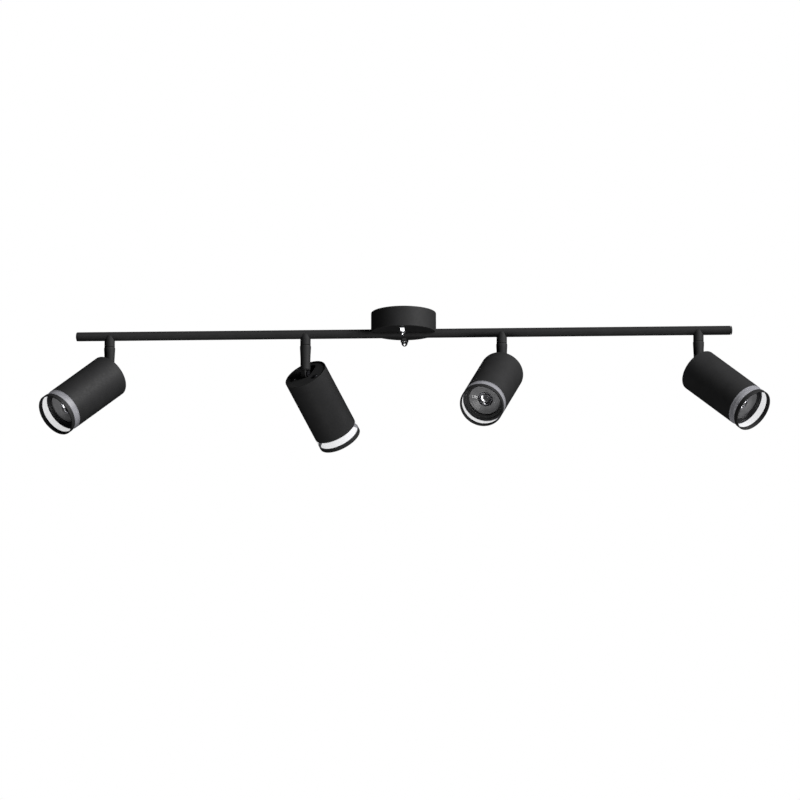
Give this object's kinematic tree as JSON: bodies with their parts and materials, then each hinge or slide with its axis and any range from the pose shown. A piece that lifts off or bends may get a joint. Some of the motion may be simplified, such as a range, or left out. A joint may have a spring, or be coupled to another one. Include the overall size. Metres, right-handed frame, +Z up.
{
  "type": "ceiling spot bar",
  "caption": "Straight black spot bar under a round ceiling canopy; its cylinder spots swivel and tilt on short stems and end in a clear ring and a slim bezel.",
  "frame": {"origin": "centre of the canopy and bracket in the ceiling plane", "axes": "+X along the bar to the right, +Z up to the ceiling, so the pictured side faces -Y"},
  "size_m": [0.8934, 0.1792, 0.1638],
  "materials": {
    "black_paint": "fine satin black powder coat",
    "chrome": "polished chrome",
    "zinc_steel": "zinc plated",
    "ceramic": "unglazed off-white",
    "terminal_plastic": "natural nylon",
    "lamp_body": "grey lamp housing with a clear lens",
    "clear_acrylic": "clear, lightly frosted inside"
  },
  "bodies": {
    "root": {"canopy": "black_paint", "mounting_bracket": "zinc_steel", "cap_nut_front": "chrome", "cap_nut_rear": "chrome", "bar_nipple": "zinc_steel", "bar_lock_nut": "zinc_steel", "terminal_block": "terminal_plastic", "bar_tube": "black_paint", "end_cap_left": "black_paint", "end_cap_right": "black_paint", "stem_socket_1": "black_paint", "stem_socket_2": "black_paint", "stem_socket_3": "black_paint", "stem_socket_4": "black_paint"},
    "arm_1": {"swivel_arm_1": "black_paint", "swivel_nut_1": "zinc_steel"},
    "spot_1": {"tilt_pin_1": "zinc_steel", "pivot_yoke_1": "zinc_steel", "rear_cap_1": "black_paint", "shade_1": "black_paint", "lamp_holder_1": "ceramic", "lamp_1": "lamp_body", "baffle_ring_1": "black_paint", "clear_ring_1": "clear_acrylic", "bezel_1": "black_paint"},
    "arm_2": {"swivel_arm_2": "black_paint", "swivel_nut_2": "zinc_steel"},
    "spot_2": {"tilt_pin_2": "zinc_steel", "pivot_yoke_2": "zinc_steel", "rear_cap_2": "black_paint", "shade_2": "black_paint", "lamp_holder_2": "ceramic", "lamp_2": "lamp_body", "baffle_ring_2": "black_paint", "clear_ring_2": "clear_acrylic", "bezel_2": "black_paint"},
    "arm_3": {"swivel_arm_3": "black_paint", "swivel_nut_3": "zinc_steel"},
    "spot_3": {"tilt_pin_3": "zinc_steel", "pivot_yoke_3": "zinc_steel", "rear_cap_3": "black_paint", "shade_3": "black_paint", "lamp_holder_3": "ceramic", "lamp_3": "lamp_body", "baffle_ring_3": "black_paint", "clear_ring_3": "clear_acrylic", "bezel_3": "black_paint"},
    "arm_4": {"swivel_arm_4": "black_paint", "swivel_nut_4": "zinc_steel"},
    "spot_4": {"tilt_pin_4": "zinc_steel", "pivot_yoke_4": "zinc_steel", "rear_cap_4": "black_paint", "shade_4": "black_paint", "lamp_holder_4": "ceramic", "lamp_4": "lamp_body", "baffle_ring_4": "black_paint", "clear_ring_4": "clear_acrylic", "bezel_4": "black_paint"}
  },
  "joints": [
    {"name": "swivel_1", "type": "hinge", "parent": "root", "child": "arm_1", "pos_m": [-0.3622, 0, -0.0258], "axis": [0, 0, 1], "range_deg": [-126, 224]},
    {"name": "tilt_1", "type": "hinge", "parent": "arm_1", "child": "spot_1", "pos_m": [-0.3622, 0, -0.0759], "axis": [-0.6561, 0.7547, 0], "range_deg": [-53.2, 21.8]},
    {"name": "swivel_2", "type": "hinge", "parent": "root", "child": "arm_2", "pos_m": [-0.12073, 0, -0.0258], "axis": [0, 0, 1], "range_deg": [-323, 27]},
    {"name": "tilt_2", "type": "hinge", "parent": "arm_2", "child": "spot_2", "pos_m": [-0.12073, 0, -0.0759], "axis": [0.848, -0.5299, 0], "range_deg": [-47.5, 27.5]},
    {"name": "swivel_3", "type": "hinge", "parent": "root", "child": "arm_3", "pos_m": [0.12073, 0, -0.0258], "axis": [0, 0, 1], "range_deg": [-158.8, 191.2]},
    {"name": "tilt_3", "type": "hinge", "parent": "arm_3", "child": "spot_3", "pos_m": [0.12073, 0, -0.0759], "axis": [-0.9603, 0.279, 0], "range_deg": [-53.7, 21.3]},
    {"name": "swivel_4", "type": "hinge", "parent": "root", "child": "arm_4", "pos_m": [0.3622, 0, -0.0258], "axis": [0, 0, 1], "range_deg": [-230.8, 119.2]},
    {"name": "tilt_4", "type": "hinge", "parent": "arm_4", "child": "spot_4", "pos_m": [0.3622, 0, -0.0759], "axis": [-0.5621, -0.8271, 0], "range_deg": [-52.5, 22.5]}
  ]
}
